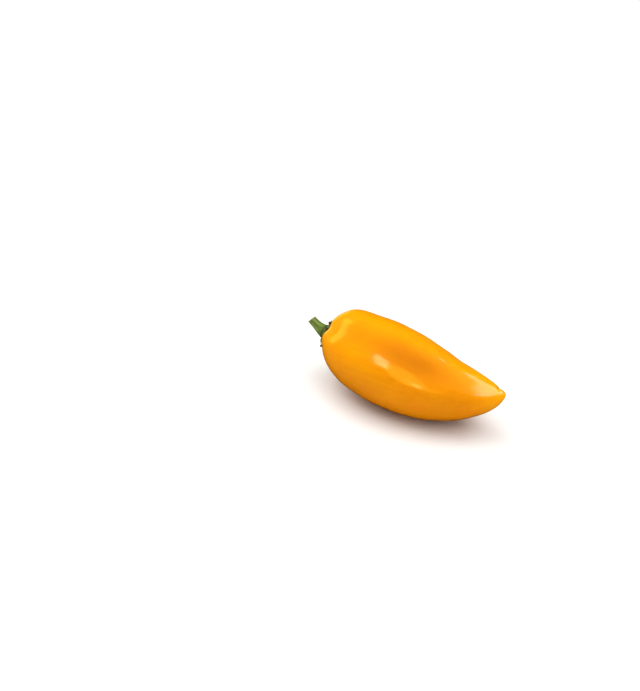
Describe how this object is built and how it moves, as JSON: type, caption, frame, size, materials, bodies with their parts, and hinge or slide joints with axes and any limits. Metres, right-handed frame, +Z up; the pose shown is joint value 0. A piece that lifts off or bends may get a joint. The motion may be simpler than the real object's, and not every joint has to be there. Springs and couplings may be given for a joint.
{
  "type": "mini sweet pepper",
  "caption": "Small tapered sweet pepper with a bent body, furrowed shoulders, a green toothed calyx and a short cut stem, lying on its belly.",
  "frame": {"origin": "the resting spot on the belly, under the weight, on the surface that the pepper lies on", "axes": "+Z up, +X from the stem end to the tip, +Y towards the hollow side of the bend"},
  "size_m": [0.1038, 0.0384, 0.0383],
  "materials": {
    "pepper_skin": "waxy yellow-orange vegetable skin, glossy, with faint lengthwise streaks",
    "calyx_green": "wrinkled leafy green, veined, satin, with dark tooth tips",
    "stem_green": "ribbed green stalk, satin, paler on the ribs and the cut end"
  },
  "bodies": {
    "root": {"fruit": "pepper_skin", "calyx": "calyx_green", "stem": "stem_green"}
  },
  "joints": []
}
